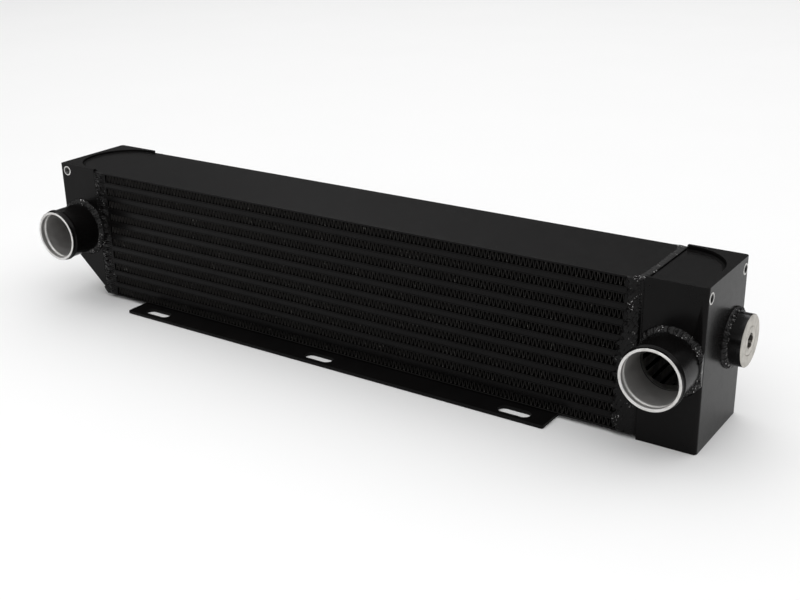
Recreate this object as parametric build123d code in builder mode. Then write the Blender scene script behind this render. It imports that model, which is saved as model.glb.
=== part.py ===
"""Bar-and-plate oil cooler: a brazed core between two welded tanks with hose ports.

Frame: X along the length, the left tank at -X; -Y is the front, where both hose
ports and the slotted flange are; +Z up. The origin is at mid length and mid depth,
on the plane that the flange and the right tank stand on. Millimetres throughout.
"""

import os
from math import atan2, tan

from build123d import *

# --- Overall -----------------------------------------------------------------
length = 700.0  # over the end faces of the two tanks
depth = 88.0  # tanks and core, front face to rear face
height = 138.0  # tanks, underside to top
cap_recess = 2.3  # core's top plate and the right tank's lower cap, from the tanks' rims

# --- Core --------------------------------------------------------------------
air_layers = 10  # open front and rear, closed left and right; they fill the height
oil_height = 4.7
sheet_gauge = 0.8  # parting sheets between the layers
side_plate_gauge = 2.0  # top and bottom plates of the stack
end_bar_width = 16.0  # bars that close the air layers, along X
face_bar_width = 6.0  # bars that close the oil layers, along Y
air_fin_period = 4.12  # nominal, rounded to whole waves
air_fin_crest = 0.9
air_fin_gauge = 0.25
air_fin_setback = 1.2  # behind the front and rear faces
oil_fin_period = 3.2
oil_fin_crest = 0.8
oil_fin_gauge = 0.3
oil_fin_setback = 4.0  # inside the ends of the oil layers

# --- Tanks -------------------------------------------------------------------
tank_side_wall = 3.0  # at the front and rear, where the D is widest
tank_end_wall = 5.5  # at the crown of the D
tank_corner_radius = 3.0
cavity_straight = 3.5  # straight run of the D beside the core
cap_gauge = 4.0
right_lid_recess = 3.5  # the right tank's upper cap, below the rim
slope_top = 52.0  # height where the left tank's sloping underside begins
slope_foot = 8.0  # its height at the core
cap_weld_leg = 3.0
foot_weld_leg = 4.5

# --- Hose ports --------------------------------------------------------------
port_inset = 26.5  # centre, from the tank's end face
port_height = 73.0
port_length = 38.5  # proud of the tank's front face
port_radius = 25.4
port_wall = 2.6
port_pocket = 24.0  # depth of the hole in the tank's front wall
bead_rise = 1.1
bead_half_width = 2.4
bead_setback = 5.2  # bead centre, from the rim
rim_chamfer = 0.5
weld_leg = 4.5
weld_belly = 0.6  # how full the weld's section is, as a share of its leg

# --- End boss and its plug ---------------------------------------------------
boss_y = 20.4
boss_height = 76.0
boss_radius = 21.7
boss_length = 14.0
boss_chamfer = 0.6
plug_radius = 12.0
plug_length = 11.0
plug_hex = 12.0  # across flats
plug_hex_depth = 8.0
gallery_radius = 9.0  # hole through the tank wall behind the plug
gallery_depth = 20.0

# --- Threaded inserts --------------------------------------------------------
insert_radius = 5.0
insert_length = 12.0
thread_radius = 2.5
thread_depth = 10.0
insert_chamfer = 0.6
front_insert_inset = 9.7  # from the left tank's end face
front_insert_drop = 7.2  # below the tank's top
end_insert_inset = 7.0  # from the right tank's front and rear faces
end_insert_drop = 10.0  # below the tank's top

# --- Mounting flange ---------------------------------------------------------
flange_gauge = 3.0
flange_length = 474.0
flange_shift = -7.0  # centre of the flange along X
flange_reach = 24.0  # in front of the core
flange_lap = 60.0  # under the core
flange_corner_radius = 2.0
slot_length = 30.0
slot_width = 11.0
slot_spacing = 205.0
slot_line = 13.0  # slot centres, in front of the core
slot_count = 3

# --- Tank-to-core welds ------------------------------------------------------
seam_rise = 1.6
seam_chamfer = 1.2

# --- Derived -----------------------------------------------------------------
oil_layers = air_layers - 1
core_base = flange_gauge
core_top = height - cap_recess
stack_base = core_base + side_plate_gauge
stack_top = core_top - side_plate_gauge
between_air_layers = oil_height + 2 * sheet_gauge
air_height = (stack_top - stack_base - oil_layers * between_air_layers) / air_layers
pitch = air_height + between_air_layers
cavity_radius = depth / 2 - tank_side_wall
tank_length = cavity_straight + cavity_radius + tank_end_wall
core_half = length / 2 - tank_length
fin_half = core_half - end_bar_width
cavity_centre = core_half + cavity_straight
front = -depth / 2
port_x = length / 2 - port_inset
left = -1
right = 1

os.makedirs("parts", exist_ok=True)


def save(part, label):
    """Name a finished piece and write it to its own file."""
    part.label = label
    export_step(part, f"parts/{label}.step")


def layer_plates(base, gauge, count):
    """Full-size sheets of the core, one every pitch from the given height."""
    with BuildPart() as plates:
        for index in range(count):
            with BuildSketch(Plane.XY.offset(base + index * pitch)):
                Rectangle(2 * core_half, depth)
            extrude(amount=gauge)
    return plates.part


def layer_bars(base, bar_height, count, centre, size):
    """A stack of bars of one plan size, one every pitch from the given height."""
    with BuildPart() as bars:
        for index in range(count):
            with BuildSketch(Plane.XY.offset(base + index * pitch)):
                with Locations(centre):
                    Rectangle(*size)
            extrude(amount=bar_height)
    return bars.part


def wave_outline(run, nominal_period, rise, crest, gauge):
    """Closed outline of a corrugated strip, centred, standing on zero.

    Each wave is a trough, a rising flank, a flat crest and a falling flank. The
    corners of the middle line move out and in by the mitre of half the gauge.
    """
    waves = round(run / nominal_period)
    period = run / waves
    flank = period / 2 - crest
    low = gauge / 2
    high = rise - gauge / 2
    mitre = gauge / 2 * tan(atan2(high - low, flank) / 2)
    upper = [(-run / 2, gauge)]
    lower = [(-run / 2, 0)]
    for index in range(waves):
        start = index * period - run / 2
        corners = (
            (start + crest / 2, low, -mitre),
            (start + crest / 2 + flank, high, -mitre),
            (start + period - crest / 2 - flank, high, mitre),
            (start + period - crest / 2, low, mitre),
        )
        upper += [(x + shift, z + gauge / 2) for x, z, shift in corners]
        lower += [(x - shift, z - gauge / 2) for x, z, shift in corners]
    upper.append((run / 2, gauge))
    lower.append((run / 2, 0))
    return upper + lower[::-1]


def fin_pack(plane, outline, reach):
    """A corrugated strip, drawn on a plane and run the same way to both sides."""
    with BuildPart() as fin:
        with BuildSketch(plane):
            with BuildLine():
                Polyline(*outline, close=True)
            make_face()
        extrude(amount=reach, both=True)
    return fin.part


def cavity_outline(side):
    """The D-shaped inside of a tank in plan, straight beside the core."""
    mouth_x = side * core_half
    centre_x = side * cavity_centre
    crown_x = side * (cavity_centre + cavity_radius)
    Line((mouth_x, -cavity_radius), (centre_x, -cavity_radius))
    ThreePointArc((centre_x, -cavity_radius), (crown_x, 0), (centre_x, cavity_radius))
    Line((centre_x, cavity_radius), (mouth_x, cavity_radius))
    Line((mouth_x, cavity_radius), (mouth_x, -cavity_radius))


def cavity_prism(side, base, top):
    """The tank's inside between two heights, for cutting it and for its caps."""
    with BuildPart() as prism:
        with BuildSketch(Plane.XY.offset(base)):
            with BuildLine():
                cavity_outline(side)
            make_face()
        extrude(amount=top - base)
    return prism.part


def slope_strip(inner, outer):
    """Band along the left tank's sloping underside, given by two rises from it."""
    with BuildPart() as strip:
        with BuildSketch(Plane.XZ):
            with BuildLine():
                Polyline(
                    (-length / 2, slope_top + inner),
                    (-core_half, slope_foot + inner),
                    (-core_half, slope_foot + outer),
                    (-length / 2, slope_top + outer),
                    close=True,
                )
            make_face()
        extrude(amount=depth / 2, both=True)
    return strip.part


def tank_block(side):
    """Outside of a tank, with its two outer upright corners rounded."""
    with BuildPart() as block:
        with BuildSketch(Plane.XY):
            with Locations((side * (length - tank_length) / 2, 0)):
                Rectangle(tank_length, depth)
        extrude(amount=height)
        uprights = block.edges().filter_by(Axis.Z).sort_by(Axis.X)
        outer = uprights[:2] if side == left else uprights[-2:]
        fillet(outer, tank_corner_radius)
    return block.part


def tank_shell(side, cuts):
    """A tank's wall: its block less the D-shaped inside, the port hole and other cuts."""
    block = tank_block(side)
    inside = cavity_prism(side, 0, height)
    with BuildPart() as shell:
        add(block)
        add(inside, mode=Mode.SUBTRACT)
        with BuildSketch(Plane.XZ.offset(-front)):
            with Locations((side * port_x, port_height)):
                Circle(port_radius - port_wall)
        extrude(amount=-port_pocket, mode=Mode.SUBTRACT)
        for cut in cuts:
            add(cut, mode=Mode.SUBTRACT)
    return shell.part


def bore_cut(plane, centres, radius, reach):
    """Round holes that run back from a plane, for cutting a tank's wall."""
    with BuildPart() as cut:
        with BuildSketch(plane):
            with Locations(*centres):
                Circle(radius)
        extrude(amount=-reach)
    return cut.part


def port_plane(side):
    """Plane through a port's axis: local x is radial, local y runs out to the rim."""
    return Plane(origin=(side * port_x, front, port_height), x_dir=(1, 0, 0), z_dir=(0, 0, -1))


def port_axis(side):
    """The port's own axis, out of the tank's front face."""
    return Axis((side * port_x, front, port_height), (0, -1, 0))


def port_tube(side):
    """Hose tube with a rolled bead near its rim: the wall bulges, outside and in."""
    bead_start = port_length - bead_setback - bead_half_width
    bead_middle = port_length - bead_setback
    bead_end = port_length - bead_setback + bead_half_width
    bore = port_radius - port_wall
    with BuildPart() as tube:
        with BuildSketch(port_plane(side)):
            with BuildLine():
                Line((bore, 0), (port_radius, 0))
                Line((port_radius, 0), (port_radius, bead_start))
                ThreePointArc(
                    (port_radius, bead_start),
                    (port_radius + bead_rise, bead_middle),
                    (port_radius, bead_end),
                )
                Line((port_radius, bead_end), (port_radius, port_length - rim_chamfer))
                Line((port_radius, port_length - rim_chamfer), (port_radius - rim_chamfer, port_length))
                Line((port_radius - rim_chamfer, port_length), (bore + rim_chamfer, port_length))
                Line((bore + rim_chamfer, port_length), (bore, port_length - rim_chamfer))
                Line((bore, port_length - rim_chamfer), (bore, bead_end))
                ThreePointArc((bore, bead_end), (bore + bead_rise, bead_middle), (bore, bead_start))
                Line((bore, bead_start), (bore, 0))
            make_face()
        revolve(axis=port_axis(side))
    return tube.part


def ring_weld(plane, axis, radius, leg, centre):
    """Fillet weld round a tube on a tank face, cut off at the tank's outline."""
    with BuildPart() as weld:
        with BuildSketch(plane):
            with BuildLine():
                Line((radius, 0), (radius + leg, 0))
                ThreePointArc(
                    (radius + leg, 0),
                    (radius + weld_belly * leg, weld_belly * leg),
                    (radius, leg),
                )
                Line((radius, leg), (radius, 0))
            make_face()
        revolve(axis=axis)
        with BuildSketch(Plane.XY):
            with Locations(centre):
                Rectangle(length + 2 * leg, depth + 2 * leg)
        extrude(amount=height, mode=Mode.INTERSECT)
    return weld.part


def port_weld(side):
    """A hose port's weld, kept within the tank's end face."""
    centre = (-side * weld_leg, -weld_leg)
    return ring_weld(port_plane(side), port_axis(side), port_radius, weld_leg, centre)


def cap_weld(side, level, drop):
    """Fillet round the D where a cap meets the tank wall, above or below the cap."""
    heel = (-cavity_radius, level)
    toe = (-cavity_radius + cap_weld_leg, level)
    wall = (-cavity_radius, level + drop)
    ends = Plane.YZ.offset(side * cavity_centre)
    with BuildPart() as weld:
        with BuildSketch(ends):
            with BuildLine():
                Polyline(heel, toe, wall, close=True)
            make_face()
        revolve(axis=Axis((side * cavity_centre, 0, 0), (0, 0, 1)), revolution_arc=side * 180)
        with BuildSketch(ends):
            with BuildLine():
                Polyline(heel, toe, wall, close=True)
            make_face()
            mirror(about=Plane.YZ)
        extrude(amount=-side * cavity_straight)
    return weld.part


def core_seam(side):
    """Weld band round one end of the core beside its tank, clear of the port's weld."""
    band_height = core_top - core_base
    front_plane = Plane.XZ.offset(-front)
    port_place = (side * port_x, port_height)
    port_clearance = bore_cut(front_plane, [port_place], port_radius + weld_leg, -2 * seam_rise)
    with BuildPart() as seam:
        with BuildSketch(Plane.YZ.offset(side * core_half)):
            with Locations((0, core_base + band_height / 2)):
                Rectangle(depth + 2 * seam_rise, band_height + 2 * seam_rise)
                Rectangle(depth, band_height, mode=Mode.SUBTRACT)
        extrude(amount=-side * end_bar_width)
        far_face = seam.faces().filter_by(Plane.YZ).sort_by(Axis.X)[-1 if side == left else 0]
        chamfer(far_face.outer_wire().edges(), seam_chamfer)
        add(port_clearance, mode=Mode.SUBTRACT)
    return seam.part


def threaded_inserts(plane, places):
    """Plain round inserts let in flush with a face, each with a blind threaded hole."""
    with BuildPart() as inserts:
        with BuildSketch(plane):
            with Locations(*places):
                Circle(insert_radius)
        extrude(amount=-insert_length)
        with BuildSketch(plane):
            with Locations(*places):
                Circle(thread_radius)
        extrude(amount=-thread_depth, mode=Mode.SUBTRACT)
        mouths = inserts.edges().filter_by(GeomType.CIRCLE).filter_by(at_mouth(plane))
        chamfer(mouths, insert_chamfer)
    return inserts.part


def at_mouth(plane):
    """Picks the thread-size circles that lie on a plane."""

    def chosen(edge):
        on_plane = abs(plane.to_local_coords(edge.arc_center).Z) < thread_radius / 10
        return on_plane and abs(edge.radius - thread_radius) < thread_radius / 10

    return chosen


# --- Core: plates, sheets and bars --------------------------------------------
with BuildPart() as bottom_side_plate:
    with BuildSketch(Plane.XY.offset(core_base)):
        Rectangle(2 * core_half, depth)
    extrude(amount=side_plate_gauge)
save(bottom_side_plate.part, "bottom_side_plate")

# The top plate runs on over the left tank as its recessed lid.
with BuildPart() as top_side_plate:
    with BuildSketch(Plane.XY.offset(stack_top)):
        Rectangle(2 * core_half, depth)
        with BuildLine():
            cavity_outline(left)
        make_face()
    extrude(amount=side_plate_gauge)
save(top_side_plate.part, "top_side_plate")

sheet_over_air = stack_base + air_height
oil_base = sheet_over_air + sheet_gauge
sheet_over_oil = oil_base + oil_height
lower_sheets = layer_plates(sheet_over_air, sheet_gauge, oil_layers)
upper_sheets = layer_plates(sheet_over_oil, sheet_gauge, oil_layers)
with BuildPart() as parting_sheets:
    add(lower_sheets)
    add(upper_sheets)
save(parting_sheets.part, "parting_sheets")

face_bar_y = (depth - face_bar_width) / 2
face_bar_size = (2 * core_half, face_bar_width)
front_face_bars = layer_bars(oil_base, oil_height, oil_layers, (0, -face_bar_y), face_bar_size)
save(front_face_bars, "front_face_bars")
rear_face_bars = layer_bars(oil_base, oil_height, oil_layers, (0, face_bar_y), face_bar_size)
save(rear_face_bars, "rear_face_bars")

end_bar_x = core_half - end_bar_width / 2
end_bar_size = (end_bar_width, depth)
left_end_bars = layer_bars(stack_base, air_height, air_layers, (-end_bar_x, 0), end_bar_size)
save(left_end_bars, "left_end_bars")
right_end_bars = layer_bars(stack_base, air_height, air_layers, (end_bar_x, 0), end_bar_size)
save(right_end_bars, "right_end_bars")

# --- Core: corrugated fins ----------------------------------------------------
air_outline = wave_outline(2 * fin_half, air_fin_period, air_height, air_fin_crest, air_fin_gauge)
air_reach = depth / 2 - air_fin_setback
for layer in range(air_layers):
    level = stack_base + layer * pitch
    fin_plane = Plane(origin=(0, 0, level), x_dir=(1, 0, 0), z_dir=(0, -1, 0))
    save(fin_pack(fin_plane, air_outline, air_reach), f"air_fin_{layer + 1:02d}")

oil_run = depth - 2 * face_bar_width
oil_outline = wave_outline(oil_run, oil_fin_period, oil_height, oil_fin_crest, oil_fin_gauge)
oil_reach = core_half - oil_fin_setback
for layer in range(oil_layers):
    level = oil_base + layer * pitch
    fin_plane = Plane(origin=(0, 0, level), x_dir=(0, 1, 0), z_dir=(1, 0, 0))
    save(fin_pack(fin_plane, oil_outline, oil_reach), f"oil_fin_{layer + 1:02d}")

# --- Tanks --------------------------------------------------------------------
front_plane = Plane.XZ.offset(-front)
right_end_plane = Plane.YZ.offset(length / 2)
front_insert_place = (-length / 2 + front_insert_inset, height - front_insert_drop)
end_insert_y = depth / 2 - end_insert_inset
end_insert_z = height - end_insert_drop
end_insert_places = [(-end_insert_y, end_insert_z), (end_insert_y, end_insert_z)]

below_slope = slope_strip(-slope_top, 0)
left_insert_pocket = bore_cut(front_plane, [front_insert_place], insert_radius, insert_length)
left_tank_shell = tank_shell(left, [below_slope, left_insert_pocket])
save(left_tank_shell, "left_tank_shell")

right_insert_pockets = bore_cut(right_end_plane, end_insert_places, insert_radius, insert_length)
gallery = bore_cut(right_end_plane, [(boss_y, boss_height)], gallery_radius, gallery_depth)
right_tank_shell = tank_shell(right, [right_insert_pockets, gallery])
save(right_tank_shell, "right_tank_shell")

slope_rise = cap_gauge * (1 + ((slope_top - slope_foot) / tank_length) ** 2) ** 0.5
slope_band = slope_strip(0, slope_rise)
left_inside = cavity_prism(left, 0, height)
with BuildPart() as left_slope_cap:
    add(slope_band)
    add(left_inside, mode=Mode.INTERSECT)
save(left_slope_cap.part, "left_slope_cap")
right_lid_top = height - right_lid_recess
save(cavity_prism(right, right_lid_top - cap_gauge, right_lid_top), "right_top_cap")
save(cavity_prism(right, cap_recess, cap_recess + cap_gauge), "right_bottom_cap")

# --- Hose ports ---------------------------------------------------------------
save(port_tube(left), "left_port_tube")
save(port_tube(right), "right_port_tube")
save(port_weld(left), "left_port_weld")
save(port_weld(right), "right_port_weld")

# --- End boss, its weld and its plug --------------------------------------------
boss_foot = (length / 2, boss_y, boss_height)
with BuildPart() as end_boss:
    with BuildSketch(right_end_plane):
        with Locations((boss_y, boss_height)):
            Circle(boss_radius)
            Circle(plug_radius, mode=Mode.SUBTRACT)
    extrude(amount=boss_length)
    chamfer(end_boss.faces().sort_by(Axis.X)[-1].edges(), boss_chamfer)
save(end_boss.part, "end_boss")

boss_section = Plane(origin=boss_foot, x_dir=(0, 1, 0), z_dir=(0, 0, -1))
boss_axis = Axis(boss_foot, (1, 0, 0))
save(ring_weld(boss_section, boss_axis, boss_radius, weld_leg, (weld_leg, -weld_leg)), "boss_weld")

boss_face = Plane.YZ.offset(length / 2 + boss_length)
with BuildPart() as boss_plug:
    with BuildSketch(boss_face):
        with Locations((boss_y, boss_height)):
            Circle(plug_radius)
    extrude(amount=-plug_length)
    chamfer(boss_plug.edges().sort_by(Axis.X)[-1], boss_chamfer)
    with BuildSketch(boss_face):
        with Locations((boss_y, boss_height)):
            RegularPolygon(plug_hex / 2, 6, major_radius=False)
    extrude(amount=-plug_hex_depth, mode=Mode.SUBTRACT)
save(boss_plug.part, "boss_plug")

# --- Threaded inserts -----------------------------------------------------------
save(threaded_inserts(front_plane, [front_insert_place]), "left_front_insert")
save(threaded_inserts(right_end_plane, end_insert_places), "right_end_inserts")

# --- Mounting flange ------------------------------------------------------------
with BuildPart() as mounting_flange:
    with BuildSketch(Plane.XY):
        with Locations((flange_shift, front + (flange_lap - flange_reach) / 2)):
            Rectangle(flange_length, flange_lap + flange_reach)
        with Locations((flange_shift, front - slot_line)):
            with GridLocations(slot_spacing, 0, slot_count, 1):
                SlotOverall(slot_length, slot_width, mode=Mode.SUBTRACT)
    extrude(amount=flange_gauge)
    corners = mounting_flange.edges().filter_by(Axis.Z).group_by(Axis.Y)[0]
    fillet(corners, flange_corner_radius)
save(mounting_flange.part, "mounting_flange")

# --- Tank-to-core welds and cap welds ---------------------------------------------
# The left tank's lid is the core's own top plate, and its underside ends above the
# core's, so only the front and rear of that seam are welded, and its foot.
left_band = core_seam(left)
with BuildPart() as left_core_seam:
    add(left_band)
    with BuildSketch(Plane.XY.offset(core_base)):
        Rectangle(length, 2 * depth)
    extrude(amount=core_top - core_base, mode=Mode.INTERSECT)
save(left_core_seam.part, "left_core_seam")
save(core_seam(right), "right_core_seam")

slope_fall = (slope_top - slope_foot) / tank_length
with BuildPart() as left_foot_weld:
    with BuildSketch(Plane.XZ):
        with BuildLine():
            Polyline(
                (-core_half, slope_foot),
                (-core_half, slope_foot - foot_weld_leg),
                (-core_half - foot_weld_leg, slope_foot + foot_weld_leg * slope_fall),
                close=True,
            )
        make_face()
    extrude(amount=depth / 2, both=True)
save(left_foot_weld.part, "left_foot_weld")

save(cap_weld(left, core_top, cap_recess), "left_lid_weld")
save(cap_weld(right, right_lid_top, right_lid_recess), "right_top_cap_weld")
save(cap_weld(right, cap_recess, -cap_recess), "right_bottom_cap_weld")
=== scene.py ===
"""Bar-and-plate oil cooler in satin black paint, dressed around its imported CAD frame.

Shapes are worked out in millimetres in the CAD frame, with +X along the cooler, -Y out
of its front and +Z up, and go into their meshes in metres.
"""

import logging
from dataclasses import dataclass, field, replace
from enum import Enum

import bmesh
import bpy
import numpy as np
from mathutils import Matrix, Vector


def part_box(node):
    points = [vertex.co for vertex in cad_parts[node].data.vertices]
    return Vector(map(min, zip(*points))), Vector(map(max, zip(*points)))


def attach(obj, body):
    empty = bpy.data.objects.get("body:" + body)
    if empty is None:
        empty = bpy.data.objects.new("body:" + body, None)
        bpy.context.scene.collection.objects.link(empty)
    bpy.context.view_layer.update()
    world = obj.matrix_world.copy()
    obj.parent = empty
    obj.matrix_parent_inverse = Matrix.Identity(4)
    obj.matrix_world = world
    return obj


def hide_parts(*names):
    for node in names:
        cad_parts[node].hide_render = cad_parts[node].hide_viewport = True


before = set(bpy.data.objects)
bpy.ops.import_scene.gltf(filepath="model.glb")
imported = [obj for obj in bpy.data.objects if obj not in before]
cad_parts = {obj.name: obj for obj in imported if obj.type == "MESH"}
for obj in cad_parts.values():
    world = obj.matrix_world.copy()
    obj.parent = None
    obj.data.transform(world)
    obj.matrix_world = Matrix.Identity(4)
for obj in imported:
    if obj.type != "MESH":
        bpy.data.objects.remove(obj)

MM = 0.001
ROOT = "root"
LOG = logging.getLogger("oil_cooler")
MERGE_DISTANCE = 0.002  # mm, between points of a CAD copy that are one
FLAT_ANGLE = 0.5  # degrees, between faces of a CAD copy that are one
SHARP_ANGLE = 30.0  # degrees, from which an edge of a CAD copy stays sharp
BEVEL_ANGLE = 40.0  # degrees, from which it is softened
BEVEL_SEGMENTS = 2  # faces across a softened edge
TURNED_ANGLE = 30.0  # degrees, from which an edge of a turned piece stays sharp
PORT_RADIUS = 25.4  # mm, outside of the hose tubes
LAYER_PITCH = 13.5  # mm, from one air layer to the next

Array = np.ndarray
Colour = tuple[float, float, float]


class Side(Enum):
    """The two ends of the cooler, by the sign of X."""

    LEFT = -1
    RIGHT = 1


class Face(Enum):
    """Directions that a relief can stand out in."""

    FRONT = (0.0, -1.0, 0.0)
    REAR = (0.0, 1.0, 0.0)
    TOP = (0.0, 0.0, 1.0)
    BOTTOM = (0.0, 0.0, -1.0)


# --- Node tools ------------------------------------------------------------------


class Value:
    """A float socket in a material's tree that takes part in arithmetic."""

    def __init__(self, tree: "Tree", socket: bpy.types.NodeSocket) -> None:
        """Keep the tree and the socket.

        Args:
            tree: The tree that new Math nodes go into.
            socket: The output that holds this value.
        """
        self.tree = tree
        self.socket = socket

    def math(self, operation: str, *others: "Value | float") -> "Value":
        """Run a Math node on this value.

        Args:
            operation: The Math node's operation.
            others: Its second and third values.

        Returns:
            The node's result.
        """
        return self.tree.math(operation, self, *others)

    def __add__(self, other: "Value | float") -> "Value":
        """Sum."""
        return self.math("ADD", other)

    def __radd__(self, other: float) -> "Value":
        """Sum with a number on the left."""
        return self.tree.math("ADD", other, self)

    def __sub__(self, other: "Value | float") -> "Value":
        """Difference."""
        return self.math("SUBTRACT", other)

    def __rsub__(self, other: float) -> "Value":
        """Difference from a number on the left."""
        return self.tree.math("SUBTRACT", other, self)

    def __mul__(self, other: "Value | float") -> "Value":
        """Product."""
        return self.math("MULTIPLY", other)

    def __rmul__(self, other: float) -> "Value":
        """Product with a number on the left."""
        return self.tree.math("MULTIPLY", other, self)

    def __abs__(self) -> "Value":
        """Size without sign."""
        return self.math("ABSOLUTE")

    def root(self) -> "Value":
        """Square root."""
        return self.math("SQRT")

    def above(self, other: "Value | float") -> "Value":
        """This value, but never less than other."""
        return self.math("MAXIMUM", other)

    def step(self, low: float, high: float) -> "Value":
        """Rise smoothly from 0 at low to 1 at high, or fall if low is the larger.

        Args:
            low: Value that gives 0.
            high: Value that gives 1.

        Returns:
            The share, between 0 and 1.
        """
        if low > high:
            return 1.0 - self.step(high, low)
        node = self.tree.node(
            "ShaderNodeMapRange",
            {"interpolation_type": "SMOOTHSTEP"},
            {"Value": self, "From Min": low, "From Max": high},
        )
        return Value(self.tree, node.outputs["Result"])


class Tree:
    """One material's node tree, with its Principled shader and Object coordinates."""

    def __init__(self, name: str) -> None:
        """Start a material.

        Args:
            name: The material's name.
        """
        self.material = bpy.data.materials.new(name)
        self.material.use_nodes = True
        self.tree = self.material.node_tree
        self.tree.nodes.clear()
        self.shader = self.node("ShaderNodeBsdfPrincipled")
        output = self.node("ShaderNodeOutputMaterial")
        self.tree.links.new(self.shader.outputs["BSDF"], output.inputs["Surface"])
        place = self.node("ShaderNodeTexCoord").outputs["Object"]
        scaled = self.node(
            "ShaderNodeVectorMath", {"operation": "SCALE"}, {"Vector": place, "Scale": 1 / MM}
        )
        self.place = scaled.outputs["Vector"]
        parts = self.node("ShaderNodeSeparateXYZ", {}, {"Vector": self.place})
        self.x, self.y, self.z = (Value(self, parts.outputs[axis]) for axis in "XYZ")

    def node(
        self, kind: str, settings: dict | None = None, inputs: dict | None = None
    ) -> bpy.types.Node:
        """Make any node: its settings first, then its sockets.

        Args:
            kind: The node's type.
            settings: Its properties, by name.
            inputs: Values or links of its sockets, by name or number.

        Returns:
            The node.
        """
        made = self.tree.nodes.new(kind)
        for key, value in (settings or {}).items():
            setattr(made, key, value)
        for key, value in (inputs or {}).items():
            self.feed(made.inputs[key], value)
        return made

    def feed(self, socket: bpy.types.NodeSocket, value: object) -> None:
        """Link or set one socket.

        Args:
            socket: The input.
            value: A Value, a socket, a number or a colour.
        """
        if isinstance(value, Value):
            self.tree.links.new(value.socket, socket)
        elif isinstance(value, bpy.types.NodeSocket):
            self.tree.links.new(value, socket)
        elif isinstance(value, tuple) and socket.type == "RGBA":
            socket.default_value = (*value, 1.0)
        else:
            socket.default_value = value

    def math(self, operation: str, *values: Value | float) -> Value:
        """Run one Math node.

        Args:
            operation: Its operation.
            values: Its values in order.

        Returns:
            Its result.
        """
        numbered = dict(enumerate(values))
        node = self.node("ShaderNodeMath", {"operation": operation}, numbered)
        return Value(self, node.outputs["Value"])

    def noise(
        self, size: float, detail: float = 3.0, at: bpy.types.NodeSocket | None = None
    ) -> Value:
        """Soft noise.

        Args:
            size: Width of its patches in mm.
            detail: Octaves.
            at: Where it is read; the piece's own place if left out.

        Returns:
            The noise, around one half.
        """
        inputs = {"Vector": at or self.place, "Scale": 1 / size, "Detail": detail}
        node = self.node("ShaderNodeTexNoise", {"noise_dimensions": "3D"}, inputs)
        return Value(self, node.outputs["Fac"])

    def cells(self, size: float) -> Value:
        """Distance to the nearest of a scatter of points.

        Args:
            size: Spacing of the points in mm.

        Returns:
            The distance, 0 at a point.
        """
        inputs = {"Vector": self.place, "Scale": 1 / size}
        node = self.node("ShaderNodeTexVoronoi", {"feature": "F1"}, inputs)
        return Value(self, node.outputs["Distance"])

    def vector(
        self, x: Value | float, y: Value | float, z: Value | float
    ) -> bpy.types.NodeSocket:
        """Join three values into a vector."""
        return self.node("ShaderNodeCombineXYZ", {}, {"X": x, "Y": y, "Z": z}).outputs["Vector"]

    def blend(self, share: Value, low: object, high: object) -> bpy.types.NodeSocket:
        """Mix two colours.

        Args:
            share: 0 for the first, 1 for the second.
            low: First colour or socket.
            high: Second colour or socket.

        Returns:
            The mixed colour's socket.
        """
        node = self.node("ShaderNodeMix", {"data_type": "RGBA"})
        self.feed(node.inputs["Factor"], share)
        colours = [s for s in node.inputs if s.type == "RGBA"]
        self.feed(colours[0], low)
        self.feed(colours[1], high)
        return next(s for s in node.outputs if s.type == "RGBA")

    def finish(
        self, colour: object, roughness: object, metallic: object, relief: Value, depth: float
    ) -> bpy.types.Material:
        """Wire the shader.

        Args:
            colour: Base colour.
            roughness: Roughness.
            metallic: Metallic.
            relief: Height field of the surface, as a share of depth.
            depth: Full height of the relief in mm.

        Returns:
            The finished material.
        """
        bump = self.node("ShaderNodeBump", {}, {"Height": relief, "Distance": depth * MM})
        self.feed(self.shader.inputs["Base Color"], colour)
        self.feed(self.shader.inputs["Roughness"], roughness)
        self.feed(self.shader.inputs["Metallic"], metallic)
        self.feed(self.shader.inputs["Normal"], bump.outputs["Normal"])
        return self.material


# --- Finishes ----------------------------------------------------------------------


@dataclass(frozen=True)
class SatinPaint:
    """Satin black paint, slightly mottled, with an orange-peel skin and dust specks."""

    name: str = "satin_paint"
    dark: Colour = (0.0024, 0.0022, 0.0022)
    light: Colour = (0.0044, 0.0040, 0.0040)
    dust: Colour = (0.06, 0.058, 0.056)
    roughness: float = 0.25
    roughness_swing: float = 0.03
    peel_size: float = 1.6
    peel_depth: float = 0.035
    mottle_size: float = 26.0
    scuff_size: float = 5.5
    speck_spacing: float = 7.0
    speck_radius: float = 0.045
    specular: float = 0.095

    def paint(self, tree: Tree) -> tuple[bpy.types.NodeSocket, Value, Value]:
        """Work out the paint's pattern: a slow cloud and a fine grain between the two
        blacks, soft scuffs in the roughness, and pale specks where a scuff meets one of
        the scattered points.

        Args:
            tree: The material's tree.

        Returns:
            Its colour, roughness and relief.
        """
        cloud = tree.noise(self.mottle_size, 4.0).step(0.3, 0.7)
        grain = tree.noise(self.peel_size, 3.0)
        scuff = tree.noise(self.scuff_size, 6.0).step(0.42, 0.66)
        speck = tree.cells(self.speck_spacing).step(self.speck_radius, self.speck_radius / 3)
        body = tree.blend(cloud * 0.6 + grain * 0.4, self.dark, self.light)
        colour = tree.blend(speck * scuff, body, self.dust)
        rough = self.roughness + (scuff - 0.5) * self.roughness_swing + speck * 0.2
        relief = grain * 0.7 + tree.noise(self.peel_size * 4, 2.0) * 0.6 + speck * 0.6
        return colour, rough, relief

    def tree(self) -> Tree:
        """Start the material with this paint's strength of reflection."""
        tree = Tree(self.name)
        tree.shader.inputs["Specular IOR Level"].default_value = self.specular
        return tree

    def material(self) -> bpy.types.Material:
        """Make the material."""
        tree = self.tree()
        colour, rough, relief = self.paint(tree)
        return tree.finish(colour, rough, 0.0, relief, self.peel_depth)


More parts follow.
